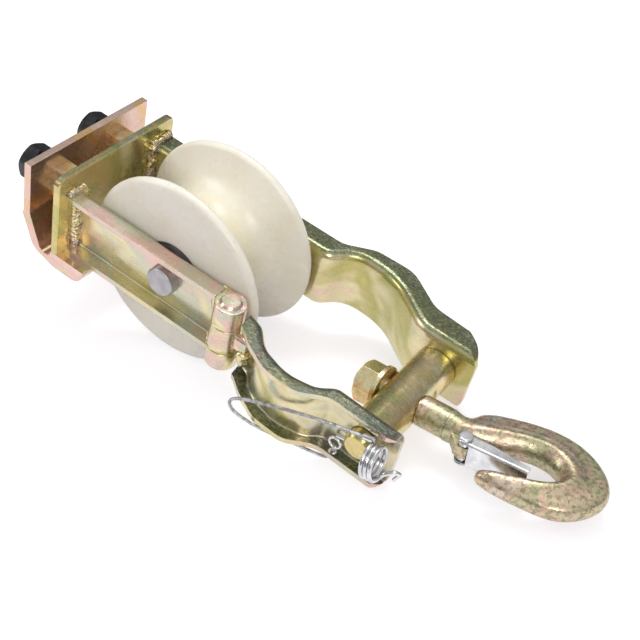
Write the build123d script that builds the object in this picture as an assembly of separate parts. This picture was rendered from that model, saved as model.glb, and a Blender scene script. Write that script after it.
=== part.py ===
from build123d import *
from math import asin, atan2, cos, degrees, hypot, pi, radians, sin, sqrt, tan
import os

# Crossarm stringing block: a grooved nylon sheave on sealed bearings between two channel
# side straps, a screw clamp for the crossarm at one end, a swinging gate on the cable
# mouth, and a swivelling snap hook on a trunnion bar at the other end.
# Frame: origin at the centre of the sheave, +X towards the hook, +Y along the axle away
# from the gate, +Z up through the open top of the clamp. Millimetres.

# ---- sheave and bearings -------------------------------------------------------------
sheave_r = 60.0
sheave_half_width = 29.0
rim_r = 3.3
groove_r = 19.0
groove_root_r = 32.0
bearing_od = 42.0
bearing_id = 20.0
bearing_width = 12.0
bearing_recess = 1.0
race_wall = 3.2
spacer_wall = 2.8
ball_r = 3.175
ball_count = 9
ball_play = 0.08
shield_thick = 0.8
sheave_shoulder = 6.5
running_gap = 0.05
clear_gap = 0.3

# ---- straps --------------------------------------------------------------------------
sheet = 3.5
strap_height = 43.0
bend_r = 5.0
inner_bend_r = bend_r - sheet
near_web_y = -31.4
far_web_y = 31.6
channel_end_x = 41.2
near_flange_y = -43.8
far_flange_y = 46.8
strap_end_x = 175.0
gate_end_x = 173.5
end_corner_r = 8.0

# ---- crossarm clamp ------------------------------------------------------------------
plate_thick = 5.0
plate_half_width = 50.2
plate_top_z = 34.8
plate_corner_r = 5.0
head_outer_x = -75.7
slot_width = 17.4
jaw_top_z = 33.4
foot_thick = 10.7
foot_nose_x = -49.5
foot_nose_r = 9.0
foot_notch = 62.0
foot_clearance = 3.0
slot_floor_drop = 4.3
bolt_y = 25.0
bolt_z = 11.0
bolt_d = 14.0
bolt_af = 21.0
bolt_head = 8.8
bolt_head_gap = 11.0
weld_nut_af = 21.0
weld_nut_thick = 7.0
bolt_tip_past_nut = 0.6
bead_r = 4.0

# ---- axle ----------------------------------------------------------------------------
axle_end_d = 18.6
axle_near_proud = 6.0
axle_far_proud = 11.5
axle_washer_d = 32.0
axle_washer_thick = 2.5
cotter_d = 3.6

# ---- gate hinge ----------------------------------------------------------------------
hinge_x = 51.3
hinge_y = -42.5
knuckle_d = 18.7
hinge_pin_d = 10.0
hinge_half_height = 23.0
gate_knuckle_low = -10.0
gate_knuckle_high = 8.6
knuckle_gap = 0.3
gate_open_gap = 0.4

# ---- trunnion bar and hook -----------------------------------------------------------
trunnion_x = 153.0
hook_y = -11.5
bar_d = 26.0
bar_near_y = -46.9
spigot_d = 17.0
spigot_end_y = -58.8
spigot_chamfer = 1.5
journal_d = 18.0
journal_head_d = 21.5
journal_head_thick = 3.0
bar_washer_d = 24.0
bar_washer_thick = 2.5
bar_flat = 12.2
hook_pitch = 8.0
shank_d = 18.0
shank_end_u = 30.0
shank_flare_d = 18.6
stud_d = 14.0
shank_nut_af = 22.0
shank_nut_thick = 12.0
shank_washer_d = 28.0
shank_washer_thick = 2.5
latch_pin_u = 45.0
latch_pin_v = -10.5
latch_pin_d = 5.0
latch_lug_thick = 7.6
latch_width = 16.4
latch_sheet = 1.2
latch_length = 37.5
latch_ear_r = 4.2
latch_fold_r = 1.4

# ---- lock clip and lanyard -----------------------------------------------------------
clip_wire_d = 2.4
clip_hole_d = 3.4
clip_leg_y = -56.0
clip_tilt = 12.0
clip_coil_r = 9.3
clip_turns = 3.0
rope_d = 2.0
flange_hole_d = 4.6
flange_hole_x = 139.5
flange_hole_y = -54.9

os.makedirs("parts", exist_ok=True)


def save(name, shape):
    shape.label = name
    export_step(shape, "parts/" + name + ".step")


def tube(outer_r, inner_r, y0, y1, x=0.0, z=0.0):
    """A ring along Y from y0 to y1."""
    length = abs(y1 - y0)
    ring = Cylinder(outer_r, length) - Cylinder(inner_r, length * 2)
    return Pos(x, (y0 + y1) / 2, z) * Rot(90, 0, 0) * ring


def rod_y(radius, y0, y1, x=0.0, z=0.0):
    """A round bar along Y from y0 to y1."""
    return Pos(x, (y0 + y1) / 2, z) * Rot(90, 0, 0) * Cylinder(radius, abs(y1 - y0))


def rod_z(radius, z0, z1, x=0.0, y=0.0):
    """A round bar along Z from z0 to z1."""
    return Pos(x, y, (z0 + z1) / 2) * Cylinder(radius, z1 - z0)


def block(x0, x1, y0, y1, z0, z1):
    """A box between two corners."""
    return Pos((x0 + x1) / 2, (y0 + y1) / 2, (z0 + z1) / 2) * Box(x1 - x0, y1 - y0, z1 - z0)


def hexagon_x(across_flats, x0, x1, y=0.0, z=0.0, turn=0.0):
    """A hexagonal prism along X."""
    prism = extrude(RegularPolygon(across_flats / 2, 6, major_radius=False), x1 - x0)
    return Pos(x0, y, z) * Rot(turn, 0, 0) * Rot(0, 90, 0) * prism


def parallel_path(points, radii, distance):
    """Corner points and radii of a path at a distance to the left of a rounded path."""
    moved = []
    new_radii = []
    count = len(points)
    for i in range(count):
        before = points[max(i - 1, 0)]
        here = points[i]
        after = points[min(i + 1, count - 1)]
        d_in = Vector(here[0] - before[0], here[1] - before[1])
        d_out = Vector(after[0] - here[0], after[1] - here[1])
        if i == 0:
            d_in = d_out
        if i == count - 1:
            d_out = d_in
        d_in = d_in.normalized()
        d_out = d_out.normalized()
        n_in = Vector(-d_in.Y, d_in.X)
        n_out = Vector(-d_out.Y, d_out.X)
        mitre = (n_in + n_out).normalized()
        reach = distance / mitre.dot(n_in)
        moved.append((here[0] + mitre.X * reach, here[1] + mitre.Y * reach))
        if 0 < i < count - 1:
            turn = d_in.X * d_out.Y - d_in.Y * d_out.X
            side = 1.0 if turn > 0 else -1.0
            new_radii.append(max(radii[i - 1] - side * distance, 0.5))
    return moved, new_radii


def rounded(points, radii):
    """A wire through corner points, each corner rounded by its own radius."""
    return FilletPolyline(*points, radius=radii)


def band(path_a, path_b):
    """The face between two open paths that run the same way."""
    edges = list(path_a.edges()) + list(path_b.edges())
    edges.append(Line(path_a @ 0, path_b @ 0).edge())
    edges.append(Line(path_a @ 1, path_b @ 1).edge())
    return make_face(Wire.combine(edges)[0])


def channel(face_points, face_radii, outward, edge_points, edge_radii, end_x, taper):
    """A channel strap whose flanges turn outward, with formed bends along its web.

    outward is +1 when the flanges lie to the left of the web's path, -1 to its right.
    The strap is formed past its end, then cropped there, with its flanges tapered along
    the arc through the three taper points.
    """
    face_path = rounded(face_points, face_radii)
    bend_points, bend_radii = parallel_path(face_points, face_radii, outward * bend_r)
    half = strap_height / 2
    flat = half - bend_r
    mid = bend_r * (1 - cos(pi / 4))
    inner_mid = bend_r - inner_bend_r * cos(pi / 4)
    section = Wire.combine(
        [
            ThreePointArc((bend_r, -half), (mid, -flat - bend_r + mid), (0, -flat)).edge(),
            Line((0, -flat), (0, flat)).edge(),
            ThreePointArc((0, flat), (mid, half - mid), (bend_r, half)).edge(),
            Line((bend_r, half), (bend_r, half - sheet)).edge(),
            ThreePointArc(
                (bend_r, half - sheet), (inner_mid, flat + bend_r - inner_mid), (sheet, flat)
            ).edge(),
            Line((sheet, flat), (sheet, -flat)).edge(),
            ThreePointArc(
                (sheet, -flat), (inner_mid, inner_mid - bend_r - flat), (bend_r, sheet - half)
            ).edge(),
            Line((bend_r, sheet - half), (bend_r, -half)).edge(),
        ]
    )[0]
    start = Vector(*face_points[0])
    ahead = (Vector(*face_points[1]) - start).normalized()
    across = Vector(-ahead.Y, ahead.X) * outward
    bent_web = sweep(Plane(start, x_dir=across, z_dir=ahead) * make_face(section), face_path)
    plan = band(rounded(bend_points, bend_radii), rounded(edge_points, edge_radii))
    flange = extrude(plan, sheet, dir=(0, 0, 1))
    strap = bent_web + Pos(0, 0, half - sheet) * flange + Pos(0, 0, -half) * flange
    start_x = face_points[0][0]
    side = Plane.XZ * Pos((start_x + end_x) / 2 - 20, 0) * RectangleRounded(
        end_x - start_x + 40, strap_height, end_corner_r
    )
    strap = strap & extrude(side, 200, both=True)
    (x0, y0), (x1, y1), (x2, y2) = taper
    outside = outward * 40
    crop = make_face(
        Wire.combine(
            [
                ThreePointArc((x0, y0), (x1, y1), (x2, y2)).edge(),
                Line((x2, y2), (x2 + 20, y2)).edge(),
                Line((x2 + 20, y2), (x2 + 20, y0 + outside)).edge(),
                Line((x2 + 20, y0 + outside), (x0, y0 + outside)).edge(),
                Line((x0, y0 + outside), (x0, y0)).edge(),
            ]
        )[0]
    )
    return strap - extrude(crop, 100, both=True)


# ---- sheave --------------------------------------------------------------------------
rim_y = sheave_half_width - rim_r
rim_centre = sheave_r - rim_r
groove_centre = groove_root_r + groove_r
between = hypot(rim_y, rim_centre - groove_centre)
flank = atan2(rim_centre - groove_centre, rim_y) + asin((groove_r + rim_r) / between)
flank_in_y = groove_r * sin(flank)
flank_in_r = groove_centre - groove_r * cos(flank)
flank_out_y = rim_y - rim_r * sin(flank)
flank_out_r = rim_centre + rim_r * cos(flank)
bearing_face = sheave_half_width - bearing_recess
bearing_back = bearing_face - bearing_width
bearing_or = bearing_od / 2
shoulder_r = bearing_or - sheave_shoulder
with BuildPart() as sheave_build:
    with BuildSketch(Plane.XY):
        with BuildLine():
            ThreePointArc((flank_in_r, -flank_in_y), (groove_root_r, 0), (flank_in_r, flank_in_y))
            Line((flank_in_r, flank_in_y), (flank_out_r, flank_out_y))
            ThreePointArc(
                (flank_out_r, flank_out_y),
                (rim_centre + rim_r * cos(pi / 4), rim_y + rim_r * sin(pi / 4)),
                (rim_centre, sheave_half_width),
            )
            Polyline(
                (rim_centre, sheave_half_width),
                (bearing_or, sheave_half_width),
                (bearing_or, bearing_back),
                (shoulder_r, bearing_back),
                (shoulder_r, -bearing_back),
                (bearing_or, -bearing_back),
                (bearing_or, -sheave_half_width),
                (rim_centre, -sheave_half_width),
            )
            ThreePointArc(
                (rim_centre, -sheave_half_width),
                (rim_centre + rim_r * cos(pi / 4), -rim_y - rim_r * sin(pi / 4)),
                (flank_out_r, -flank_out_y),
            )
            Line((flank_out_r, -flank_out_y), (flank_in_r, -flank_in_y))
        make_face()
    revolve(axis=Axis.Y)
save("sheave", sheave_build.part)

# Two deep-groove ball bearings, their outer races in the sheave's counterbores.
ball_pitch_r = (bearing_od + bearing_id) / 4
race_r = ball_r + ball_play
outer_races = []
inner_races = []
balls = []
shields = []
for side in (-1, 1):
    mid_y = side * (bearing_face + bearing_back) / 2
    face_y = side * bearing_face
    back_y = side * bearing_back
    track = Pos(0, mid_y, 0) * Rot(90, 0, 0) * Torus(ball_pitch_r, race_r)
    outer_races.append(tube(bearing_or, bearing_or - race_wall, back_y, face_y) - track)
    inner_races.append(tube(bearing_id / 2 + race_wall, bearing_id / 2, back_y, face_y) - track)
    for end_y, inward in ((face_y, -side), (back_y, side)):
        shields.append(
            tube(
                bearing_or - race_wall,
                bearing_id / 2 + race_wall + clear_gap,
                end_y,
                end_y + inward * shield_thick,
            )
        )
    for k in range(ball_count):
        angle = 2 * pi * k / ball_count
        balls.append(
            Pos(ball_pitch_r * cos(angle), mid_y, ball_pitch_r * sin(angle)) * Sphere(ball_r)
        )
save("bearing_outer_races", Compound(children=[Part(s.wrapped) for s in outer_races]))
save("bearing_inner_races", Compound(children=[Part(s.wrapped) for s in inner_races]))
save("bearing_balls", Compound(children=[Part(s.wrapped) for s in balls]))
save("bearing_shields", Compound(children=[Part(s.wrapped) for s in shields]))

# ---- axle and what sits on it --------------------------------------------------------
axle_r = bearing_id / 2
near_back_y = near_web_y - sheet
far_back_y = far_web_y + sheet
axle_near_end = near_back_y - axle_near_proud
axle_far_end = far_back_y + axle_far_proud
washer_end = far_back_y + axle_washer_thick
cotter_y = washer_end + cotter_d / 2 + 0.6
axle = rod_y(axle_r, near_web_y, far_web_y)
axle += rod_y(axle_end_d / 2, axle_near_end, near_web_y)
axle += rod_y(axle_end_d / 2, far_web_y, axle_far_end)
axle = chamfer(
    axle.edges().filter_by(GeomType.CIRCLE).sort_by(Axis.Y)[0:1]
    + axle.edges().filter_by(GeomType.CIRCLE).sort_by(Axis.Y)[-1:],
    0.8,
)
axle -= rod_z(cotter_d / 2 + 0.2, -axle_r * 2, axle_r * 2, 0, cotter_y)
save("axle", axle)
save("axle_washer", tube(axle_washer_d / 2, axle_end_d / 2 + 0.2, far_back_y, washer_end))
cotter_eye_r = 2.4
cotter_reach = axle_end_d / 2 + 3.0
cotter = rod_z(cotter_d / 2, -cotter_reach, cotter_reach - 2.0, 0, cotter_y)
cotter += Pos(0, cotter_y, cotter_reach + cotter_eye_r - 2.6) * Rot(90, 0, 0) * Torus(
    cotter_eye_r, cotter_d / 4
)
save("axle_cotter", cotter)
save("centre_spacer", tube(axle_r + spacer_wall, axle_r, -bearing_back, bearing_back))
save(
    "side_spacers",
    Compound(
        children=[
            tube(axle_r + spacer_wall, axle_r, near_web_y, -bearing_face),
            tube(axle_r + spacer_wall, axle_r, bearing_face, far_web_y),
        ]
    ),
)

# ---- crossarm clamp ------------------------------------------------------------------
head_inner_x = head_outer_x + plate_thick
jaw_inner_x = head_outer_x - slot_width
jaw_outer_x = jaw_inner_x - plate_thick
half_height = strap_height / 2
foot_top = -half_height
foot_bottom = foot_top - foot_thick
head_plan = Plane.YZ * Pos(0, (plate_top_z + foot_top) / 2) * RectangleRounded(
    2 * plate_half_width, plate_top_z - foot_top, plate_corner_r
)
head_square = block(
    head_outer_x, head_inner_x, -plate_half_width, plate_half_width, foot_top, 0
)
head_plate = Pos(head_outer_x, 0, 0) * extrude(head_plan, plate_thick) + head_square
head_plate = chamfer(head_plate.faces().sort_by(Axis.Z)[-1].edges().filter_by(Axis.Y), 0.8)
save("head_plate", head_plate)

# The jaw is one bent and dressed piece: outer plate, round bottom of the slot, thick foot.
slot_floor = foot_top - slot_floor_drop
jaw_lean_z = -3.0
jaw_step = 1.1
with BuildPart() as jaw_build:
    with BuildSketch(Plane.XZ.offset(-plate_half_width)):
        with BuildLine():
            outer_side = FilletPolyline(
                (jaw_inner_x, jaw_top_z),
                (jaw_outer_x, jaw_top_z),
                (jaw_outer_x, jaw_lean_z),
                (jaw_outer_x - jaw_step, jaw_lean_z - 1.6),
                (jaw_outer_x + 8.5, foot_bottom + 5.5),
                (jaw_outer_x + 25.0, foot_bottom),
                (foot_nose_x, foot_bottom),
                (foot_nose_x, foot_top),
                radius=[0.8, 0.8, 0.8, 9.0, 14.0, foot_nose_r],
            )
            Line((foot_nose_x, foot_top), (head_outer_x, foot_top))
            slot_side = FilletPolyline(
                (head_outer_x, foot_top),
                (head_outer_x, slot_floor),
                (jaw_inner_x + 9.6, slot_floor),
                (jaw_inner_x, jaw_lean_z),
                (jaw_inner_x, jaw_top_z),
                radius=[3.6, 5.0, 12.0],
            )
        make_face()
    extrude(amount=2 * plate_half_width)
jaw = jaw_build.part
for side in (-1, 1):
    jaw -= Pos(jaw_outer_x, side * bolt_y, bolt_z) * Rot(0, 90, 0) * Cylinder(
        bolt_d / 2 + 0.5, plate_thick * 4
    )
jaw -= rod_y(sheave_r + foot_clearance, -foot_notch / 2, foot_notch / 2)
save("clamp_jaw", jaw)

nut_end_x = jaw_inner_x + weld_nut_thick
weld_nuts = []
for side in (-1, 1):
    nut = hexagon_x(weld_nut_af, jaw_inner_x, nut_end_x, side * bolt_y, bolt_z, 30)
    bore = Pos(jaw_inner_x, side * bolt_y, bolt_z) * Rot(0, 90, 0) * Cylinder(
        bolt_d / 2 + running_gap, weld_nut_thick * 4
    )
    weld_nuts.append(nut - bore)
save("jaw_weld_nuts", Compound(children=[Part(s.wrapped) for s in weld_nuts]))

bolt_tip_x = nut_end_x + bolt_tip_past_nut
head_seat_x = jaw_outer_x - bolt_head_gap
for side, name in ((-1, "clamp_bolt_near"), (1, "clamp_bolt_far")):
    shank = Pos((head_seat_x + bolt_tip_x) / 2, side * bolt_y, bolt_z) * Rot(0, 90, 0) * (
        Cylinder(bolt_d / 2, bolt_tip_x - head_seat_x)
    )
    shank = chamfer(shank.edges().sort_by(Axis.X)[-1], 1.2)
    head = hexagon_x(bolt_af, head_seat_x - bolt_head, head_seat_x, side * bolt_y, bolt_z, 8)
    crown = Pos(head_seat_x - bolt_head, side * bolt_y, bolt_z) * Rot(0, 90, 0) * (
        Cone(bolt_af / 2 - 0.4, bolt_af / 2 + 3.2, 2.1, align=(Align.CENTER, Align.CENTER, Align.MIN))
        + Pos(0, 0, 2.1)
        * Cylinder(bolt_af, bolt_head, align=(Align.CENTER, Align.CENTER, Align.MIN))
    )
    save(name, (head & crown) + shank)

# ---- side straps ---------------------------------------------------------------------
half = half_height


def straight_channel(x0, x1, face_y, edge_y):
    """A plain channel along X with flanges turned away from the sheave."""
    back_y = face_y + (sheet if edge_y > face_y else -sheet)
    low, high = sorted((face_y, edge_y))
    body = block(x0, x1, low, high, -half, half)
    side = 1 if edge_y > face_y else -1
    low, high = sorted((back_y, edge_y + side * 5))
    body -= block(x0 - 1, x1 + 1, low, high, -half + sheet, half - sheet)
    inner = [
        e for e in body.edges().filter_by(Axis.X)
        if abs((e @ 0.5).Y - back_y) < 0.01 and abs(abs((e @ 0.5).Z) - half + sheet) < 0.01
    ]
    body = fillet(inner, inner_bend_r)
    outer = [
        e for e in body.edges().filter_by(Axis.X)
        if abs((e @ 0.5).Y - face_y) < 0.01 and abs(abs((e @ 0.5).Z) - half) < 0.01
    ]
    return fillet(outer, bend_r)


near_channel = straight_channel(head_inner_x, channel_end_x, near_web_y, near_flange_y)
near_channel -= rod_y(axle_end_d / 2, near_back_y - 5, near_web_y + 5)
save("near_channel", near_channel)

far_end_y = 24.0
strap_overrun = 15.0
far_face = [
    (head_inner_x, far_web_y),
    (65.5, far_web_y),
    (77.6, 46.2),
    (104.5, 45.9),
    (136.5, far_end_y),
    (strap_end_x + strap_overrun, far_end_y),
]
far_edge = [
    (head_inner_x, far_flange_y),
    (66.0, far_flange_y),
    (84.0, 57.4),
    (110.0, 58.6),
    (135.0, 42.6),
    (strap_end_x + strap_overrun, 39.4),
]
far_taper = [(158.0, 42.0), (168.0, 35.0), (strap_end_x - 1.0, far_end_y + sheet)]
far_strap = channel(
    far_face, [10.0, 18.0, 44.0, 25.0], 1, far_edge, [16.0, 14.0, 22.0, 20.0], strap_end_x, far_taper
)
far_strap -= rod_y(axle_end_d / 2, far_web_y - 5, far_back_y + 5)
far_strap -= rod_y(journal_d / 2 + running_gap, far_end_y - 5, far_end_y + sheet + 5, trunnion_x)
save("far_strap", far_strap)

gate_end_y = -48.9
gate_root = (63.3, -37.4)
gate_root_edge = (65.2, -50.6)
gate_face = [
    (gate_root[0] - 9.4, gate_root[1] + 3.4),
    (74.0, -41.3),
    (84.3, -52.6),
    (103.5, -58.3),
    (119.6, -55.0),
    (128.6, -46.9),
    (gate_end_x + strap_overrun, gate_end_y),
]
gate_edge = [
    (gate_root_edge[0] - 9.4, gate_root_edge[1] + 4.4),
    (gate_root_edge[0] + 2.0, gate_root_edge[1] - 1.0),
    (76.5, -58.6),
    (93.0, -67.0),
    (114.0, -68.0),
    (130.0, -57.6),
    (gate_end_x + strap_overrun, -59.4),
]
gate_taper = [(161.0, -60.0), (169.5, -57.0), (gate_end_x - 0.5, gate_end_y - sheet)]
gate_strap = channel(
    gate_face, [14.0, 22.0, 30.0, 14.0, 9.0], -1, gate_edge, [16.0, 18.0, 22.0, 16.0, 16.0],
    gate_end_x, gate_taper,
)
root_lean = degrees(atan2(gate_root_edge[0] - gate_root[0], gate_root[1] - gate_root_edge[1]))
gate_strap -= Pos(gate_root[0], gate_root[1], 0) * Rot(0, 0, root_lean) * block(-60, 0, -60, 60, -60, 60)
slot_r = spigot_d / 2 + gate_open_gap
slot_shift = 1.9
spigot_slot = rod_y(slot_r, -60, -40, trunnion_x) + rod_y(slot_r, -60, -40, trunnion_x + slot_shift)
spigot_slot += block(trunnion_x, trunnion_x + slot_shift, -60, -40, -slot_r, slot_r)
gate_strap -= spigot_slot
gate_strap -= rod_z(flange_hole_d / 2, -half - 1, -half + sheet + 1, flange_hole_x, flange_hole_y)
save("gate_strap", gate_strap)

# ---- welds at the head ---------------------------------------------------------------
beads = []
for face_y, edge_y in ((near_web_y, near_flange_y), (far_web_y, far_flange_y)):
    side = 1 if edge_y > face_y else -1
    back_y = face_y + side * sheet
    strap_cut = near_channel if side < 0 else far_strap
    inside = rod_z(bead_r, -half + 2, half - 0.5, head_inner_x, face_y)
    over = rod_y(bead_r * 0.75, *sorted((face_y - side * 2.0, edge_y - side * 1.0)), head_inner_x, half)
    outside = rod_z(bead_r * 0.9, -half + sheet, half - sheet, head_inner_x, back_y)
    for bead in (inside + over, outside):
        beads.append(bead - strap_cut - head_plate - jaw)
bead_solids = [Part(s.wrapped) for b in beads for s in b.solids() if s.volume > 20]
save("head_welds", Compound(children=bead_solids))

# ---- gate hinge ----------------------------------------------------------------------
pin_r = hinge_pin_d / 2
knuckle_r = knuckle_d / 2


def knuckle(z0, z1, bore_r):
    """One barrel of the hinge with softly rounded rims."""
    barrel = rod_z(knuckle_r, z0, z1, hinge_x, hinge_y)
    barrel = fillet(barrel.edges().filter_by(GeomType.CIRCLE), 0.7)
    return barrel - rod_z(bore_r, z0 - 5, z1 + 5, hinge_x, hinge_y)


upper = knuckle(gate_knuckle_high, hinge_half_height, pin_r)
lower = knuckle(-hinge_half_height, gate_knuckle_low, pin_r)
middle = knuckle(gate_knuckle_low + knuckle_gap, gate_knuckle_high - knuckle_gap, pin_r + running_gap)
save("hinge_knuckle_upper", upper)
save("hinge_knuckle_lower", lower)

pin_head_r = pin_r + 1.6
pin = rod_z(pin_r, -hinge_half_height + 0.5, hinge_half_height, hinge_x, hinge_y)
pin_head = Pos(hinge_x, hinge_y, hinge_half_height) * Cone(
    pin_head_r, pin_head_r - 1.4, 1.5, align=(Align.CENTER, Align.CENTER, Align.MIN)
)
save("hinge_pin", pin + pin_head)

seam = []
for z0, z1 in ((gate_knuckle_high + 0.6, half - 1.0), (-half + 1.0, gate_knuckle_low - 0.6)):
    lump = block(channel_end_x - 2.5, hinge_x - 2, near_flange_y + 2.0, near_web_y - 1.0, z0, z1)
    lump -= near_channel
    lump -= rod_z(knuckle_r, z0 - 5, z1 + 5, hinge_x, hinge_y)
    seam += [Part(s.wrapped) for s in lump.solids() if s.volume > 10]
save("hinge_welds", Compound(children=seam))

lug = block(hinge_x, 68.0, hinge_y - 3.4, hinge_y + 1.6, -6.0, 4.6)
lug = fillet(lug.edges().filter_by(Axis.X), 2.2)
lug -= rod_z(pin_r + running_gap, -40, 40, hinge_x, hinge_y)
lug_parts = (lug - gate_strap).solids().sort_by(SortBy.VOLUME)
save("gate_knuckle", middle + Part(lug_parts[-1].wrapped))

# A bead under the lug where it meets the gate's web.
lug_bead = Pos(66.0, hinge_y - 1.6, -7.0) * Sphere(3.6) + Pos(67.0, hinge_y - 2.4, -11.0) * Sphere(3.0)
lug_bead = lug_bead - gate_strap - middle - Part(lug_parts[-1].wrapped)
save("gate_lug_weld", Part(lug_bead.solids().sort_by(SortBy.VOLUME)[-1].wrapped))

# ---- trunnion bar --------------------------------------------------------------------
far_back = far_end_y + sheet
bar_far_y = far_end_y - clear_gap
journal_end = far_back + clear_gap + bar_washer_thick + clear_gap
bar = rod_y(bar_d / 2, bar_near_y, bar_far_y, trunnion_x)
bar = chamfer(bar.edges().filter_by(GeomType.CIRCLE), 0.8)
bar += rod_y(journal_d / 2, bar_far_y, journal_end, trunnion_x)
head_end = journal_end + journal_head_thick
bar_head = rod_y(journal_head_d / 2, journal_end, head_end, trunnion_x)
bar += fillet(bar_head.edges().filter_by(GeomType.CIRCLE).sort_by(Axis.Y)[-1], 2.0)
spigot = rod_y(spigot_d / 2, spigot_end_y, bar_near_y, trunnion_x)
spigot = chamfer(spigot.edges().filter_by(GeomType.CIRCLE).sort_by(Axis.Y)[0], spigot_chamfer)
bar += spigot
for side in (-1, 1):
    far_x = bar_d
    low, high = sorted((side * bar_flat, side * far_x))
    bar -= Pos(trunnion_x, hook_y, 0) * Rot(0, -hook_pitch, 0) * block(
        low, high, -shank_washer_d / 2 - 0.5, shank_washer_d / 2 + 0.5, -bar_d, bar_d
    )
bar -= Pos(trunnion_x, hook_y, 0) * Rot(0, 90 - hook_pitch, 0) * Cylinder(
    stud_d / 2 + running_gap, bar_d * 2
)
clip_hole = Pos(trunnion_x, clip_leg_y, 0) * Rot(0, 90 - clip_tilt, 0) * Cylinder(
    clip_hole_d / 2, bar_d * 2
)
bar -= clip_hole
save("trunnion_bar", bar)
save(
    "trunnion_washer",
    tube(
        bar_washer_d / 2,
        journal_d / 2 + clear_gap,
        far_back + clear_gap,
        far_back + clear_gap + bar_washer_thick,
        trunnion_x,
    ),
)

# ---- hook ----------------------------------------------------------------------------
# The hook is modelled in its own frame, u along the shank from the bar's centre, v across
# in the plane of the hook and n through it, then pitched and placed on the bar.
hook_place = Pos(trunnion_x, hook_y, 0) * Rot(0, -hook_pitch, 0)
seat_u = bar_flat + clear_gap
stud_end_u = -(bar_flat + clear_gap + shank_washer_thick + shank_nut_thick + 1.8)


def hook_section(u, v, heading, width, thick, wall, rim, tear):
    """A cross-section of the forging, from round (tear 0) to ridged inside, thin outside.

    heading is the direction of the limb in degrees from +u. wall and rim are the heights
    of the inner wall and of the outer edge.
    """
    left = Vector(-sin(radians(heading)), cos(radians(heading)), 0)
    ahead = Vector(cos(radians(heading)), sin(radians(heading)), 0)
    plane = Plane((u, v, 0), x_dir=left, z_dir=ahead)
    w = width / 2
    shaped = [
        (-w, -wall / 2),
        (-0.55 * w, -thick / 2),
        (0.15 * w, -(thick + rim) / 4),
        (0.92 * w, -rim / 2),
        (0.92 * w, rim / 2),
        (0.15 * w, (thick + rim) / 4),
        (-0.55 * w, thick / 2),
        (-w, wall / 2),
    ]
    points = []
    for (a, b), angle in zip(shaped, (202, 246, 285, 336, 24, 75, 114, 158)):
        round_a = w * cos(radians(angle))
        round_b = thick / 2 * sin(radians(angle))
        points.append((round_a + tear * (a - round_a), round_b + tear * (b - round_b)))
    return plane * make_face(Spline(*points, periodic=True))


hook_stations = [
    (shank_end_u, 0.0, 2.0, shank_flare_d, shank_flare_d, 8.0, 8.0, 0.0),
    (45.0, 4.4, 22.0, 20.5, 18.0, 9.0, 8.0, 0.6),
    (60.5, 13.4, 20.0, 22.5, 18.0, 9.0, 7.0, 1.0),
    (78.0, 18.6, 3.0, 22.0, 18.0, 9.0, 7.0, 1.0),
    (97.0, 16.0, -36.0, 24.0, 18.5, 9.0, 7.0, 1.0),
    (109.3, 2.0, -88.0, 27.0, 19.0, 9.0, 7.5, 1.0),
    (102.5, -12.4, -141.0, 20.0, 19.0, 9.0, 9.0, 0.9),
    (88.0, -18.6, -168.0, 14.0, 18.0, 9.0, 9.0, 0.6),
    (74.0, -21.4, -171.0, 11.0, 15.0, 8.0, 8.0, 0.4),
    (63.5, -22.85, -172.0, 8.0, 10.5, 6.0, 6.0, 0.2),
    (60.6, -23.2, -172.0, 6.0, 7.5, 5.0, 5.0, 0.1),
    (59.3, -23.4, -172.0, 2.6, 3.2, 2.0, 2.0, 0.0),
]
blade = loft([hook_section(*station) for station in hook_stations])
hook = blade + Pos(seat_u, 0, 0) * Rot(0, 90, 0) * Cylinder(
    shank_d / 2, shank_end_u - seat_u, align=(Align.CENTER, Align.CENTER, Align.MIN)
)
hook += Pos(stud_end_u, 0, 0) * Rot(0, 90, 0) * Cylinder(
    stud_d / 2, seat_u - stud_end_u + 1.0, align=(Align.CENTER, Align.CENTER, Align.MIN)
)
lug_plan = make_face(
    Polyline(
        (31, -4), (38.5, -11.5), (40.8, -14.4), (48.2, -14.2), (50.5, -9), (52, 2), (31, 2),
        close=True,
    )
)
latch_lug = extrude(lug_plan, latch_lug_thick / 2, both=True)
latch_lug = fillet(latch_lug.edges().filter_by(Axis.Z).sort_by(Axis.Y)[0:2], 2.0)
hook += latch_lug
hook -= Pos(latch_pin_u, latch_pin_v, 0) * Cylinder(latch_pin_d / 2, latch_lug_thick * 2)
save("hook", hook_place * hook)

washer_u = -(bar_flat + clear_gap + shank_washer_thick)
washer = Pos(washer_u, 0, 0) * Rot(0, 90, 0) * (
    Cylinder(shank_washer_d / 2, shank_washer_thick, align=(Align.CENTER, Align.CENTER, Align.MIN))
    - Cylinder(stud_d / 2, shank_washer_thick * 4)
)
save("shank_washer", hook_place * washer)
nut_u = washer_u - shank_nut_thick
shank_nut = hexagon_x(shank_nut_af, nut_u, washer_u, 0, 0, 12)
nut_crown = Pos(nut_u, 0, 0) * Rot(0, 90, 0) * (
    Cone(shank_nut_af / 2 - 0.3, shank_nut_af / 2 + 3.5, 2.2, align=(Align.CENTER, Align.CENTER, Align.MIN))
    + Pos(0, 0, 2.2)
    * Cylinder(shank_nut_af, shank_nut_thick, align=(Align.CENTER, Align.CENTER, Align.MIN))
)
shank_nut = (shank_nut & nut_crown) - Pos(nut_u, 0, 0) * Rot(0, 90, 0) * Cylinder(
    stud_d / 2, shank_nut_thick * 4
)
save("shank_nut", hook_place * shank_nut)

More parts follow.
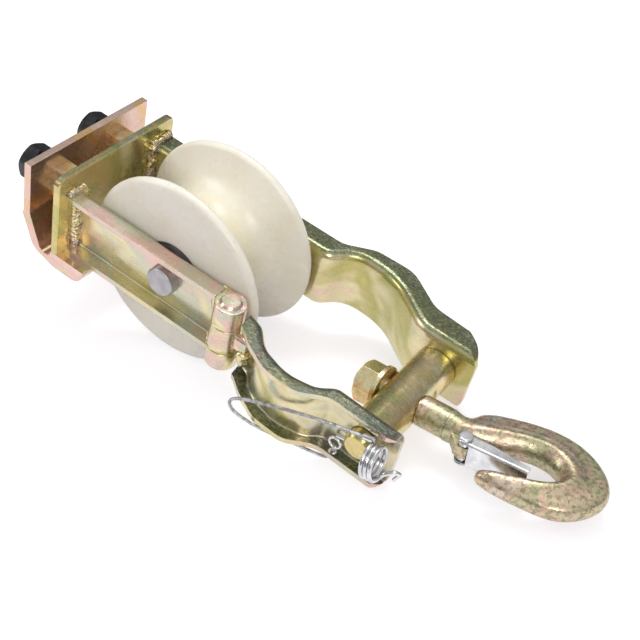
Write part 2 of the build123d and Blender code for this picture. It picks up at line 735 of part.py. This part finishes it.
# Snap latch: a folded channel with two ears on a rivet through the hook's lug.
ear_top = latch_pin_v + latch_ear_r
ear_end_u = latch_pin_u + latch_length
web_v = latch_pin_v - 1.4
drop = latch_ear_r - 1.4
web_lean = atan2(drop, latch_length)
web_root_u = latch_pin_u + latch_ear_r * sin(web_lean)
web_root_v = latch_pin_v - latch_ear_r * cos(web_lean)
ear_plan = make_face(
    Polyline(
        (latch_pin_u, latch_pin_v),
        (web_root_u, web_root_v),
        (ear_end_u, web_v),
        (ear_end_u, web_v + 4.0),
        (latch_pin_u + 6.0, ear_top + 0.4),
        (latch_pin_u, ear_top),
        close=True,
    )
) + Pos(latch_pin_u, latch_pin_v) * Circle(latch_ear_r)
solid_latch = extrude(ear_plan, latch_width / 2, both=True)
corner_edges = [
    e for e in solid_latch.edges()
    if abs(abs((e @ 0.5).Z) - latch_width / 2) < 0.01
    and (e @ 0.5).Y < latch_pin_v - 1.0
    and e.length > latch_length / 2
]
solid_latch = fillet(corner_edges, latch_fold_r)
inside_width = latch_width / 2 - latch_sheet
hollow = extrude(
    make_face(
        Polyline(
            (latch_pin_u - 12, latch_pin_v - 12),
            (latch_pin_u + 4.0, latch_pin_v - 12),
            (latch_pin_u + 4.0, web_root_v + 4.0 * tan(web_lean) + latch_sheet),
            (ear_end_u + 4.0, web_v + 4.0 * tan(web_lean) + latch_sheet),
            (ear_end_u + 4.0, 20),
            (latch_pin_u - 12, 20),
            close=True,
        )
    ),
    inside_width,
    both=True,
)
latch = solid_latch - hollow
latch -= Pos(latch_pin_u, latch_pin_v, 0) * Cylinder(latch_pin_d / 2 + running_gap, latch_width * 2)
save("latch", hook_place * latch)
rivet = Cylinder(latch_pin_d / 2, latch_width + 0.6)
for side in (-1, 1):
    rivet_head = Pos(0, 0, side * (latch_width / 2 + 0.3 + 0.8)) * Cylinder(latch_pin_d / 2 + 1.5, 1.6)
    outer_rim = rivet_head.edges().filter_by(GeomType.CIRCLE).sort_by(Axis.Z)[-1 if side > 0 else 0]
    rivet += fillet(outer_rim, 0.9)
save("latch_rivet", hook_place * Pos(latch_pin_u, latch_pin_v, 0) * rivet)
coils = []
spring_wire_r = 0.45
for side in (-1, 1):
    for turn in range(2):
        height = side * (latch_lug_thick / 2 + 0.75 + turn * 1.0)
        coils.append(Pos(latch_pin_u, latch_pin_v, height) * Torus(latch_pin_d / 2 + 0.7, spring_wire_r))
spring_rings = [Part(s.wrapped) for s in coils]
save("latch_spring", hook_place * Compound(children=spring_rings))

# ---- lock clip -----------------------------------------------------------------------
# Spring wire: a straight leg through the spigot's cross hole, wound into a ring of close
# turns and ended in a hairpin.
clip_place = Pos(trunnion_x, clip_leg_y, 0) * Rot(0, -clip_tilt, 0)
wire_r = clip_wire_d / 2
coil_start = spigot_d / 2 + 2.4
pitch = clip_wire_d + 0.2
coil_centre_y = -clip_coil_r * 0.92
coil_centre_z = clip_coil_r * 0.39
coil_length = clip_turns * pitch
leg_end = coil_start + wire_r
leg = Pos(-spigot_d / 2 - 5.0, 0, 0) * Rot(0, 90, 0) * Cylinder(
    wire_r, spigot_d / 2 + 5.0 + leg_end, align=(Align.CENTER, Align.CENTER, Align.MIN)
)
coil_path = Pos(coil_start, coil_centre_y, coil_centre_z) * Rot(0, 90, 0) * Helix(
    pitch, coil_length, clip_coil_r
)
coil_face = Plane(coil_path @ 0, z_dir=coil_path % 0) * Circle(wire_r)
coil = sweep(coil_face, coil_path, is_frenet=True)
tail_start = coil_path @ 1
tail_points = [
    tail_start,
    tail_start + Vector(2.5, 1.2, 3.0),
    tail_start + Vector(7.5, 3.4, 5.4),
    tail_start + Vector(9.4, 5.8, 2.6),
    tail_start + Vector(5.0, 7.6, -5.0),
]
tail_path = FilletPolyline(*tail_points, radius=[1.6, 1.9, 1.9])
tail = sweep(Plane(tail_path @ 0, z_dir=tail_path % 0) * Circle(wire_r), tail_path)
joint_ball = Pos(*tail_start) * Sphere(wire_r)
root_point = coil_path @ 0
bridge_path = Polyline((leg_end, 0, 0), root_point)
bridge = sweep(Plane(bridge_path @ 0, z_dir=bridge_path % 0) * Circle(wire_r), bridge_path)
root_balls = Pos(leg_end, 0, 0) * Sphere(wire_r) + Pos(*root_point) * Sphere(wire_r)
clip = leg + root_balls + bridge + coil + joint_ball + tail
save("lock_clip", clip_place * clip)

# ---- lanyard -------------------------------------------------------------------------
# A thin wire rope from the clip's ring, along the gate, doubled back under its flange and
# up through the flange's hole to a stop ring.
rope_points = [
    (163.0, -62.0, 18.4),
    (146.0, -62.2, 13.0),
    (128.5, -62.8, 7.2),
    (111.0, -64.0, 0.4),
    (93.5, -66.5, -5.6),
    (82.6, -68.6, -9.6),
    (77.6, -69.6, -14.8),
    (80.8, -69.8, -19.8),
    (88.2, -69.0, -21.6),
    (98.5, -66.0, -24.6),
    (113.0, -61.0, -25.8),
    (128.0, -57.2, -26.4),
    (136.6, -55.2, -25.8),
    (flange_hole_x, flange_hole_y, -21.4),
    (flange_hole_x, flange_hole_y, -15.2),
]
rope_radii = []
for i in range(1, len(rope_points) - 1):
    run_in = Vector(*rope_points[i]) - Vector(*rope_points[i - 1])
    run_out = Vector(*rope_points[i + 1]) - Vector(*rope_points[i])
    half_turn = radians(run_in.get_angle(run_out)) / 2
    rope_radii.append(0.45 * min(run_in.length, run_out.length) / tan(half_turn))
rope_path = FilletPolyline(*rope_points, radius=rope_radii)
rope = sweep(Plane(rope_path @ 0, z_dir=rope_path % 0) * Circle(rope_d / 2), rope_path)
print("rope radii", [round(r, 1) for r in rope_radii])
print("rope length", round(rope_path.length, 1), "volume", round(rope.volume, 1))
print("section by length", round(pi * rope_d**2 / 4 * rope_path.length, 1))
save("lanyard_rope", rope)

ferrule_r = rope_d / 2 + 0.7
ferrule = Plane(rope_path @ 0, z_dir=rope_path % 0) * Pos(0, 0, 1.0) * (
    Cylinder(ferrule_r, 6.0, align=(Align.CENTER, Align.CENTER, Align.MIN))
    - Cylinder(rope_d / 2, 20.0)
)
save("lanyard_ferrule", ferrule)
stop_ring_r = 3.6
stop_ring_wire = 0.9
stop_ring = Pos(flange_hole_x, flange_hole_y, -15.2 + stop_ring_r + stop_ring_wire) * Rot(90, 0, 25) * (
    Torus(stop_ring_r, stop_ring_wire)
)
save("lanyard_stop_ring", stop_ring)
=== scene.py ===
"""Looks for a stringing block: a side-opening block with a nylon sheave, a crossarm clamp
and a swivelling snap hook. Metres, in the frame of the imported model."""

import math

import bpy
from mathutils import Matrix, Vector, noise


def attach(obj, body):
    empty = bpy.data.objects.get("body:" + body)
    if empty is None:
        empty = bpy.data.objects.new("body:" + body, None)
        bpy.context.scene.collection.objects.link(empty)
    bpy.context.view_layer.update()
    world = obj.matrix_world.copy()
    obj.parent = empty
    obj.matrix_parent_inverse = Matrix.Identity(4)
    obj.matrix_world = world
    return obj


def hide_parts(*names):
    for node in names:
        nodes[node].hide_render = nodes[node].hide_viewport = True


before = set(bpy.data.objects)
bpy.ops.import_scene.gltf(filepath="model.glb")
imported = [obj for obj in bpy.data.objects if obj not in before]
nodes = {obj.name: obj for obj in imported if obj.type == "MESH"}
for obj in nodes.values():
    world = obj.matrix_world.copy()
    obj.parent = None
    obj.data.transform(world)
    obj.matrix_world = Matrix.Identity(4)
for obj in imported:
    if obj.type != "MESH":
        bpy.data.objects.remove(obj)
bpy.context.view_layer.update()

MM = 0.001


# ---- material helpers ------------------------------------------------------------------


class Nodes:
    """A material's node tree, with one call for each node or link."""

    def __init__(self, name):
        self.material = bpy.data.materials.new(name)
        self.material.use_nodes = True
        self.tree = self.material.node_tree
        self.tree.nodes.clear()
        self.output = self.add("ShaderNodeOutputMaterial")
        self.shader = self.add("ShaderNodeBsdfPrincipled")
        self.link(self.shader.outputs[0], self.output.inputs["Surface"])
        coordinates = self.add("ShaderNodeTexCoord")
        self.place = coordinates.outputs["Object"]
        self.normal = coordinates.outputs["Normal"]

    def add(self, kind, **settings):
        node = self.tree.nodes.new(kind)
        for key, value in settings.items():
            setattr(node, key, value)
        return node

    def link(self, a, b):
        self.tree.links.new(a, b)

    def put(self, socket, value):
        if hasattr(value, "links"):
            self.link(value, socket)
        else:
            socket.default_value = value

    def mapped(self, scale=(1, 1, 1), offset=(0, 0, 0)):
        node = self.add("ShaderNodeMapping")
        self.link(self.place, node.inputs["Vector"])
        node.inputs["Scale"].default_value = scale
        node.inputs["Location"].default_value = offset
        return node.outputs["Vector"]

    def noise(self, scale, detail=3.0, rough=0.55, distort=0.0, at=None):
        node = self.add("ShaderNodeTexNoise")
        self.link(at or self.place, node.inputs["Vector"])
        node.inputs["Scale"].default_value = scale
        node.inputs["Detail"].default_value = detail
        node.inputs["Roughness"].default_value = rough
        node.inputs["Distortion"].default_value = distort
        return node.outputs["Fac"]

    def cells(self, scale, at=None):
        node = self.add("ShaderNodeTexVoronoi")
        self.link(at or self.place, node.inputs["Vector"])
        node.inputs["Scale"].default_value = scale
        return node.outputs["Distance"]

    def ramp(self, fac, stops):
        node = self.add("ShaderNodeValToRGB")
        node.color_ramp.interpolation = "EASE"
        points = node.color_ramp.elements
        while len(points) < len(stops):
            points.new(0.5)
        for point, (where, colour) in zip(points, stops):
            point.position = where
            grey = isinstance(colour, (int, float))
            point.color = (colour, colour, colour, 1) if grey else (*colour, 1)
        self.link(fac, node.inputs["Fac"])
        return node.outputs["Color"]

    def mix(self, fac, a, b):
        node = self.add("ShaderNodeMix", data_type="RGBA")
        self.put(node.inputs[0], fac)
        for socket, value in ((node.inputs[6], a), (node.inputs[7], b)):
            if isinstance(value, tuple):
                value = (*value, 1)
            self.put(socket, value)
        return node.outputs[2]

    def sum(self, kind, a, b=0.0):
        node = self.add("ShaderNodeMath", operation=kind)
        for socket, value in zip(node.inputs, (a, b)):
            self.put(socket, value)
        return node.outputs[0]

    def bump(self, height, strength, distance, under=None):
        node = self.add("ShaderNodeBump")
        node.inputs["Strength"].default_value = strength
        node.inputs["Distance"].default_value = distance
        self.link(height, node.inputs["Height"])
        if under:
            self.link(under, node.inputs["Normal"])
        return node.outputs["Normal"]

    def soft_edges(self, radius):
        node = self.add("ShaderNodeBevel", samples=4)
        node.inputs["Radius"].default_value = radius
        return node.outputs["Normal"]

    def finish(self, colour, rough, normal=None, **constants):
        self.put(self.shader.inputs["Base Color"], colour)
        self.put(self.shader.inputs["Roughness"], rough)
        if normal:
            self.link(normal, self.shader.inputs["Normal"])
        for key, value in constants.items():
            self.shader.inputs[key.replace("_", " ")].default_value = value
        return self.material


def zinc(name, palette, offset, patch, hatch, shine=(0.16, 0.32), top_dark_reflection=0.0):
    """Yellow-passivated zinc plate: interference colours in patches, over rolled steel.

    patch is how many patches there are to the metre, and hatch how dark the rolling
    streaks are. top is how far the flat upper faces go over to dark green: a painted
    dark reflection, broken by a hatch.
    """
    n = Nodes(name)
    at = n.mapped(offset=offset)
    drift = n.noise(patch, 3.0, 0.6, 0.9, at)
    steps = len(palette) - 1
    stops = [(0.28 + 0.44 * i / steps, colour) for i, colour in enumerate(palette)]
    colour = n.ramp(drift, stops)
    pink = n.ramp(n.noise(patch * 2.3, 4.0, 0.6, 0.5, n.mapped(offset=offset[::-1])),
                  [(0.50, 0.0), (0.68, 1.0)])
    colour = n.mix(n.sum("MULTIPLY", pink, 0.34), colour, (0.76, 0.46, 0.36))
    green = n.ramp(n.noise(patch * 3.1, 4.0, 0.65, 0.8, n.mapped(offset=(3, 1, 7))),
                   [(0.52, 0.0), (0.70, 1.0)])
    colour = n.mix(n.sum("MULTIPLY", green, 0.32), colour, (0.36, 0.48, 0.22))
    streaks = n.ramp(n.noise(1.0, 4.0, 0.7, 0.0, n.mapped((55, 420, 420), offset)),
                     [(0.35, 1.0), (0.62, 0.0)])
    colour = n.mix(n.sum("MULTIPLY", streaks, hatch), colour, (0.22, 0.22, 0.12))
    # Painted dark reflection: faces that look up go over to dark green, broken by a hatch.
    if top_dark_reflection:
        facing = n.add("ShaderNodeSeparateXYZ")
        n.link(n.normal, facing.inputs[0])
        upward_reflection_mask = n.ramp(facing.outputs["Z"], [(0.55, 0.0), (0.93, 1.0)])
        scale = n.ramp(n.noise(1.0, 5.0, 0.75, 0.6, n.mapped((420, 2200, 480), offset)),
                       [(0.36, 0.25), (0.52, 1.0)])
        colour = n.mix(n.sum("MULTIPLY", n.sum("MULTIPLY", upward_reflection_mask, scale), top_dark_reflection),
                       colour, (0.055, 0.085, 0.060))
    dust = n.ramp(n.noise(650, 2.0, 0.5), [(0.40, 0.0), (0.75, 1.0)])
    colour = n.mix(n.sum("MULTIPLY", dust, 0.12), colour, (0.72, 0.68, 0.56))
    rough = n.ramp(n.noise(patch * 4, 4.0, 0.6), [(0.3, shine[0]), (0.7, shine[1])])
    normal = n.soft_edges(0.5 * MM)
    normal = n.bump(n.noise(95, 3.0), 0.22, 0.5 * MM, normal)
    normal = n.bump(n.noise(1400, 2.0), 0.25, 0.08 * MM, normal)
    return n.finish(colour, rough, normal, Metallic=0.88)


olive = (0.52, 0.48, 0.17)
gold = (0.74, 0.58, 0.24)
orange = (0.78, 0.48, 0.20)
moss = (0.36, 0.39, 0.14)
violet = (0.56, 0.50, 0.52)
sand = (0.76, 0.69, 0.42)
rose = (0.76, 0.52, 0.46)
ash = (0.58, 0.59, 0.46)

# Each top amount sets how much painted dark reflection the upward faces get.
zinc_head = zinc(
    "zinc_head", [moss, gold, olive, sand, orange], (0.3, 0.1, 0.9), 14, 0.15, top_dark_reflection=0.7
)
zinc_jaw = zinc(
    "zinc_jaw", [olive, sand, rose, orange, rose], (6.3, 4.1, 2.9), 14, 0.15, top_dark_reflection=0.25
)
zinc_near = zinc("zinc_near", [olive, sand, ash, rose, gold], (1.7, 2.2, 0.4), 14, 0.12)
zinc_far = zinc(
    "zinc_far", [moss, gold, olive, sand, rose], (4.1, 0.6, 2.8), 12, 0.10, top_dark_reflection=0.95
)
zinc_gate = zinc(
    "zinc_gate", [olive, sand, ash, rose, gold], (2.4, 5.2, 1.1), 14, 0.12, top_dark_reflection=0.92
)
zinc_small = zinc("zinc_small", [olive, gold, sand, orange, moss], (7.1, 3.3, 0.2), 60, 0.15)
zinc_bar = zinc(
    "zinc_bar", [moss, olive, gold, sand, violet], (5.5, 1.3, 6.4), 20, 0.2, top_dark_reflection=0.5
)
zinc_hinge = zinc("zinc_hinge", [olive, sand, rose, ash, gold], (3.3, 7.3, 1.8), 45, 0.18)
zinc_weld = zinc(
    "zinc_weld", [ash, sand, gold, violet, rose], (0.8, 8.2, 3.5), 110, 0.06, (0.10, 0.20)
)


def forged():
    """The hook's plated forging: pitted, with green, pink and silver speckles."""
    n = Nodes("forged_zinc")
    colour = n.ramp(n.noise(42, 4.0, 0.65, 0.7),
                    [(0.30, (0.24, 0.28, 0.14)), (0.45, (0.52, 0.50, 0.30)),
                     (0.56, (0.64, 0.48, 0.34)), (0.70, (0.66, 0.63, 0.52))])
    speck = n.ramp(n.noise(420, 3.0, 0.7), [(0.45, 0.0), (0.62, 1.0)])
    colour = n.mix(n.sum("MULTIPLY", speck, 0.60), colour, (0.11, 0.14, 0.07))
    blush = n.ramp(n.noise(260, 3.0, 0.6, 0.4, n.mapped(offset=(4, 4, 4))),
                   [(0.50, 0.0), (0.68, 1.0)])
    colour = n.mix(n.sum("MULTIPLY", blush, 0.45), colour, (0.68, 0.42, 0.38))
    normal = n.soft_edges(0.8 * MM)
    normal = n.bump(n.noise(60, 3.0), 0.35, 1.2 * MM, normal)
    normal = n.bump(n.cells(620), 0.30, 0.22 * MM, normal)
    normal = n.bump(n.noise(900, 3.0, 0.65), 0.45, 0.16 * MM, normal)
    rough = n.ramp(n.noise(180, 3.0), [(0.3, 0.26), (0.7, 0.46)])
    return n.finish(colour, rough, normal, Metallic=0.92)


def nylon():
    """Cast nylon: ivory and faintly translucent, darker and yellower down in the groove."""
    n = Nodes("nylon")
    parts = n.add("ShaderNodeSeparateXYZ")
    n.link(n.place, parts.inputs[0])
    across = n.sum("ABSOLUTE", parts.outputs["Y"])
    out = n.sum("SQRT", n.sum("ADD", n.sum("POWER", parts.outputs["X"], 2.0),
                              n.sum("POWER", parts.outputs["Z"], 2.0)))
    cloud = n.ramp(n.noise(34, 4.0, 0.6, 0.4),
                   [(0.30, (0.84, 0.79, 0.66)), (0.55, (0.88, 0.84, 0.74)),
                    (0.75, (0.90, 0.87, 0.80))])
    # Darker, yellower colour down in the groove.
    in_groove = n.ramp(n.sum("MULTIPLY", across, 30.0), [(0.10, 1.0), (0.46, 0.0)])
    far_out = n.ramp(n.sum("MULTIPLY", out, 10.0), [(0.22, 0.0), (0.30, 1.0)])
    line = n.sum("MULTIPLY", in_groove, far_out)
    colour = n.mix(n.sum("MULTIPLY", line, 0.55), cloud, (0.80, 0.74, 0.50))
    rings = n.add("ShaderNodeTexNoise", noise_dimensions="1D")
    n.link(n.sum("MULTIPLY", out, 1600.0), rings.inputs["W"])
    rings.inputs["Scale"].default_value = 1.0
    scuff = n.ramp(n.noise(210, 4.0, 0.7), [(0.55, 0.0), (0.75, 1.0)])
    colour = n.mix(n.sum("MULTIPLY", scuff, 0.14), colour, (0.45, 0.42, 0.34))
    normal = n.soft_edges(0.6 * MM)
    normal = n.bump(rings.outputs["Fac"], 0.12, 0.08 * MM, normal)
    normal = n.bump(n.noise(120, 3.0), 0.10, 0.4 * MM, normal)
    rough = n.ramp(n.noise(80, 3.0), [(0.3, 0.22), (0.7, 0.36)])
    material = n.finish(colour, rough, normal, Subsurface_Weight=0.35, Subsurface_Scale=0.004)
    n.shader.inputs["Subsurface Radius"].default_value = (1.0, 0.75, 0.45)
    return material


def steel(name, dark, light, rough, scale, metallic=1.0, bump=0.15):
    """Plain metal: brushed tone changes, light handling marks and fine grain."""
    n = Nodes(name)
    colour = n.ramp(n.noise(scale, 4.0, 0.6, 0.3), [(0.32, dark), (0.68, light)])
    marks = n.ramp(n.noise(scale * 9, 3.0, 0.7), [(0.55, 0.0), (0.72, 1.0)])
    colour = n.mix(n.sum("MULTIPLY", marks, 0.25), colour, dark)
    normal = n.soft_edges(0.35 * MM)
    normal = n.bump(n.noise(scale * 12, 3.0), bump, 0.08 * MM, normal)
    spread = n.ramp(n.noise(scale * 2, 3.0), [(0.3, rough * 0.8), (0.7, rough * 1.25)])
    return n.finish(colour, spread, normal, Metallic=metallic)


forged_zinc = forged()
ivory = nylon()
black = steel("black_oxide", (0.012, 0.012, 0.014), (0.045, 0.045, 0.048), 0.36, 90, 0.7)
bare = steel("bare_steel", (0.36, 0.35, 0.36), (0.50, 0.49, 0.50), 0.42, 120, 0.85, 0.3)
bright = steel("bright_steel", (0.52, 0.53, 0.55), (0.80, 0.80, 0.80), 0.20, 80)
wire = steel("galvanized_rope", (0.30, 0.31, 0.33), (0.66, 0.66, 0.66), 0.32, 300)

finishes = {
    zinc_head: ["head_plate"],
    zinc_jaw: ["clamp_jaw"],
    zinc_near: ["near_channel"],
    zinc_far: ["far_strap"],
    zinc_gate: ["gate_strap"],
    zinc_bar: ["trunnion_bar"],
    zinc_hinge: ["hinge_knuckle_upper", "hinge_knuckle_lower", "gate_knuckle", "hinge_pin"],
    forged_zinc: ["hook"],
    ivory: ["sheave"],
    black: ["clamp_bolt_near", "clamp_bolt_far"],
    bare: ["axle", "bearing_inner_races", "bearing_outer_races", "bearing_balls",
           "bearing_shields", "centre_spacer", "side_spacers"],
    bright: ["latch", "latch_rivet", "latch_spring", "lock_clip", "lanyard_stop_ring",
             "lanyard_ferrule", "axle_cotter"],
    wire: ["lanyard_rope"],
}
finish_of = {node: material for material, group in finishes.items() for node in group}
for name, node in nodes.items():
    material = finish_of.get(name, zinc_small)
    if node.material_slots:
        for place in node.material_slots:
            place.material = material
    else:
        node.data.materials.append(material)


# ---- weld beads ------------------------------------------------------------------------


def bead(node_name, body, voxel, swell):
    """A run of weld metal in place of the plain solid: rounded, rippled along its length."""
    source = nodes[node_name]
    mesh = bpy.data.meshes.new_from_object(source)
    rough = bpy.data.objects.new(node_name + "_raw", mesh)
    bpy.context.scene.collection.objects.link(rough)
    remesh = rough.modifiers.new("remesh", "REMESH")
    remesh.mode = "VOXEL"
    remesh.voxel_size = voxel
    smooth = rough.modifiers.new("smooth", "SMOOTH")
    smooth.iterations = 4
    smooth.factor = 0.5
    graph = bpy.context.evaluated_depsgraph_get()
    mesh = bpy.data.meshes.new_from_object(rough.evaluated_get(graph))
    bpy.data.objects.remove(rough)
    mesh.name = node_name + "_bead"
    for vertex in mesh.vertices:
        at = vertex.co
        ripple = noise.noise(at * 420.0) + 0.6 * noise.noise(at * 900.0 + Vector((9, 2, 5)))
        lump = max(0.0, noise.noise(at * 190.0 + Vector((3, 7, 1))))
        vertex.co = at + vertex.normal * (swell * (0.9 + 1.3 * ripple + 2.4 * lump))
    mesh.polygons.foreach_set("use_smooth", [True] * len(mesh.polygons))
    mesh.materials.clear()
    mesh.materials.append(zinc_weld)
    piece = bpy.data.objects.new(node_name + "_bead", mesh)
    bpy.context.scene.collection.objects.link(piece)
    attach(piece, body)
    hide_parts(node_name)
    return piece


bead("head_welds", "frame", 0.5 * MM, 0.80 * MM)
bead("hinge_welds", "frame", 0.5 * MM, 0.45 * MM)
bead("gate_lug_weld", "gate", 0.5 * MM, 0.45 * MM)


# ---- wire rope -------------------------------------------------------------------------

rope_route = [
    (163, -62, 18.4), (146, -62.2, 13), (128.5, -62.8, 7.2), (111, -64, 0.4),
    (93.5, -66.5, -5.6), (82.6, -68.6, -9.6), (77.6, -69.6, -14.8), (80.8, -69.8, -19.8),
    (88.2, -69, -21.6), (98.5, -66, -24.6), (113, -61, -25.8), (128, -57.2, -26.4),
    (136.6, -55.2, -25.8), (139.5, -54.9, -21.4), (139.5, -54.9, -15.2),
]
rope_d = 2.0 * MM
strands = 6
lay_length = 11.0 * MM


def rope_line():
    """The rope's centreline, as points along its NURBS route."""
    curve = bpy.data.curves.new("rope_route", "CURVE")
    curve.dimensions = "3D"
    curve.resolution_u = 24
    spline = curve.splines.new("NURBS")
    spline.points.add(len(rope_route) - 1)
    for point, (x, y, z) in zip(spline.points, rope_route):
        point.co = (x * MM, y * MM, z * MM, 1.0)
    spline.order_u = 3
    spline.use_endpoint_u = True
    carrier = bpy.data.objects.new("rope_route", curve)
    bpy.context.scene.collection.objects.link(carrier)
    bpy.context.view_layer.update()
    graph = bpy.context.evaluated_depsgraph_get()
    mesh = bpy.data.meshes.new_from_object(carrier.evaluated_get(graph))
    line = [vertex.co.copy() for vertex in mesh.vertices]
    bpy.data.objects.remove(carrier)
    return line


def along(line, step):
    """Points every step along the line, each with its direction."""
    lengths = [0.0]
    for a, b in zip(line, line[1:]):
        lengths.append(lengths[-1] + (b - a).length)
    count = max(2, round(lengths[-1] / step))
    out, k = [], 0
    for i in range(count + 1):
        want = lengths[-1] * i / count
        while k < len(line) - 2 and lengths[k + 1] < want:
            k += 1
        span = max(lengths[k + 1] - lengths[k], 1e-9)
        out.append((want, line[k].lerp(line[k + 1], (want - lengths[k]) / span)))
    return lengths[-1], out


def laid_rope(line):
    """Strands laid round a core, all as one mesh."""
    total, points = along(line, 0.55 * MM)
    centres = [point for _, point in points]
    normal = Vector((0, 0, 1))
    sides = []
    for i, centre in enumerate(centres):
        ahead = (centres[min(i + 1, len(centres) - 1)] - centres[max(i - 1, 0)]).normalized()
        normal = (normal - ahead * normal.dot(ahead)).normalized()
        sides.append((normal.copy(), ahead.cross(normal)))
    strand_r = rope_d / 2 / (1 + 1 / math.sin(math.pi / strands)) * 1.02
    orbit = rope_d / 2 - strand_r
    corners, faces, around = [], [], 8

    def tube(centre_of, radius):
        first = len(corners)
        for i in range(len(centres)):
            middle, side, up = centre_of(i)
            for k in range(around):
                angle = 2 * math.pi * k / around
                corners.append(middle + radius * (math.cos(angle) * side + math.sin(angle) * up))
        for i in range(len(centres) - 1):
            for k in range(around):
                a = first + i * around + k
                b = first + i * around + (k + 1) % around
                faces.append((a, b, b + around, a + around))
        faces.append(tuple(first + k for k in reversed(range(around))))
        last = first + (len(centres) - 1) * around
        faces.append(tuple(last + k for k in range(around)))

    tube(lambda i: (centres[i], *sides[i]), orbit)
    for strand in range(strands):
        def helix(i, strand=strand):
            turn = 2 * math.pi * (points[i][0] / lay_length + strand / strands)
            side, up = sides[i]
            out = math.cos(turn) * side + math.sin(turn) * up
            return centres[i] + orbit * out, side, up
        tube(helix, strand_r)
    mesh = bpy.data.meshes.new("lanyard_strands")
    mesh.from_pydata([tuple(c) for c in corners], [], faces)
    mesh.polygons.foreach_set("use_smooth", [True] * len(mesh.polygons))
    mesh.materials.append(wire)
    piece = bpy.data.objects.new("lanyard_strands", mesh)
    bpy.context.scene.collection.objects.link(piece)
    return piece, total, centres


rope, rope_length, rope_centres = laid_rope(rope_line())
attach(rope, "gate")
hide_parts("lanyard_rope")


# ---- floor, light and camera -----------------------------------------------------------

# The block rests on the sheave's rim and the ends of its straps, 13 degrees nose down.
rest_angle = math.radians(13)
floor_below = 60.6 * MM
floor_past = 0.08
up = Vector((-math.sin(rest_angle), 0, math.cos(rest_angle)))
floor_mesh = bpy.data.meshes.new("floor")
reach = 0.8
along_x = Vector((math.cos(rest_angle), 0, math.sin(rest_angle)))
centre = up * -floor_below + along_x * floor_past
floor_mesh.from_pydata(
    [tuple(centre + along_x * a * reach + Vector((0, b * reach, 0)))
     for a, b in ((-1, -1), (1, -1), (1, 1), (-1, 1))],
    [], [(0, 1, 2, 3)],
)
floor = bpy.data.objects.new("floor", floor_mesh)
bpy.context.scene.collection.objects.link(floor)

n = Nodes("floor_paint")
n.tree.nodes.remove(n.shader)
tone = n.ramp(n.noise(9, 2.0), [(0.3, (0.61, 0.59, 0.635)), (0.7, (0.625, 0.605, 0.645))])
matte = n.add("ShaderNodeBsdfDiffuse")
n.link(tone, matte.inputs["Color"])
glow = n.add("ShaderNodeEmission")
glow.inputs["Color"].default_value = (1, 1, 1, 1)
rays = n.add("ShaderNodeLightPath")
seen = n.sum("MAXIMUM", rays.outputs["Is Camera Ray"],
             n.sum("MAXIMUM", rays.outputs["Is Glossy Ray"], rays.outputs["Is Transmission Ray"]))
n.link(n.sum("MULTIPLY", seen, 0.56), glow.inputs["Strength"])
both = n.add("ShaderNodeAddShader")
n.link(matte.outputs[0], both.inputs[0])
n.link(glow.outputs[0], both.inputs[1])
n.link(both.outputs[0], n.output.inputs["Surface"])
floor_mesh.materials.append(n.material)

world = bpy.data.worlds.new("studio")
bpy.context.scene.world = world
world.use_nodes = True
tree = world.node_tree
tree.nodes.clear()
out = tree.nodes.new("ShaderNodeOutputWorld")
sky = tree.nodes.new("ShaderNodeBackground")
coord = tree.nodes.new("ShaderNodeTexCoord")
split = tree.nodes.new("ShaderNodeSeparateXYZ")
fade = tree.nodes.new("ShaderNodeValToRGB")
fade.color_ramp.elements[0].position = 0.0
fade.color_ramp.elements[0].color = (0.10, 0.10, 0.11, 1)
fade.color_ramp.elements[1].position = 0.55
fade.color_ramp.elements[1].color = (0.55, 0.55, 0.56, 1)
crest = fade.color_ramp.elements.new(0.95)
crest.color = (0.88, 0.88, 0.88, 1)
rays = tree.nodes.new("ShaderNodeLightPath")
white = tree.nodes.new("ShaderNodeMix")
white.data_type = "RGBA"
white.inputs[7].default_value = (1, 1, 1, 1)
tree.links.new(coord.outputs["Generated"], split.inputs[0])
tree.links.new(split.outputs["Z"], fade.inputs["Fac"])
tree.links.new(rays.outputs["Is Camera Ray"], white.inputs[0])
tree.links.new(fade.outputs["Color"], white.inputs[6])
tree.links.new(white.outputs[2], sky.inputs["Color"])
tree.links.new(sky.outputs[0], out.inputs["Surface"])
sky.inputs["Strength"].default_value = 1.0


key_colour = (1.0, 0.99, 0.97)


def area_light(name, at, towards, size, watts, colour=(1, 1, 1)):
    data = bpy.data.lights.new(name, "AREA")
    data.shape = "RECTANGLE"
    data.size, data.size_y = size
    data.energy = watts
    data.color = colour
    lamp = bpy.data.objects.new(name, data)
    bpy.context.scene.collection.objects.link(lamp)
    lamp.location = at
    lamp.rotation_euler = (Vector(towards) - Vector(at)).to_track_quat("-Z", "Y").to_euler()
    return lamp


area_light("key", (-0.25, 0.30, 0.95), (0.05, 0, 0), (0.5, 0.3), 3.6, key_colour)
area_light("front", (0.55, -0.75, 0.70), (0.08, 0, 0), (0.5, 0.35), 3.0)
area_light("left", (-0.75, -0.55, 0.35), (0.0, 0, 0), (0.30, 0.5), 1.9)

camera_at = (0.29076, -0.44205, 0.47845)
camera_axes = (
    Vector((0.79723, 0.57289, 0.19029)),
    Vector((-0.52313, 0.49833, 0.69138)),
    Vector((0.30125, -0.65074, 0.69698)),
)
camera_data = bpy.data.cameras.new("camera")
camera_data.lens = 66.6
camera_data.sensor_width = 36.0
camera_data.clip_start = 0.01
camera = bpy.data.objects.new("camera", camera_data)
bpy.context.scene.collection.objects.link(camera)
turn = Matrix(camera_axes).transposed().to_4x4()
camera.matrix_world = Matrix.Translation(camera_at) @ turn
bpy.context.scene.camera = camera
bpy.context.scene.view_settings.view_transform = "Standard"
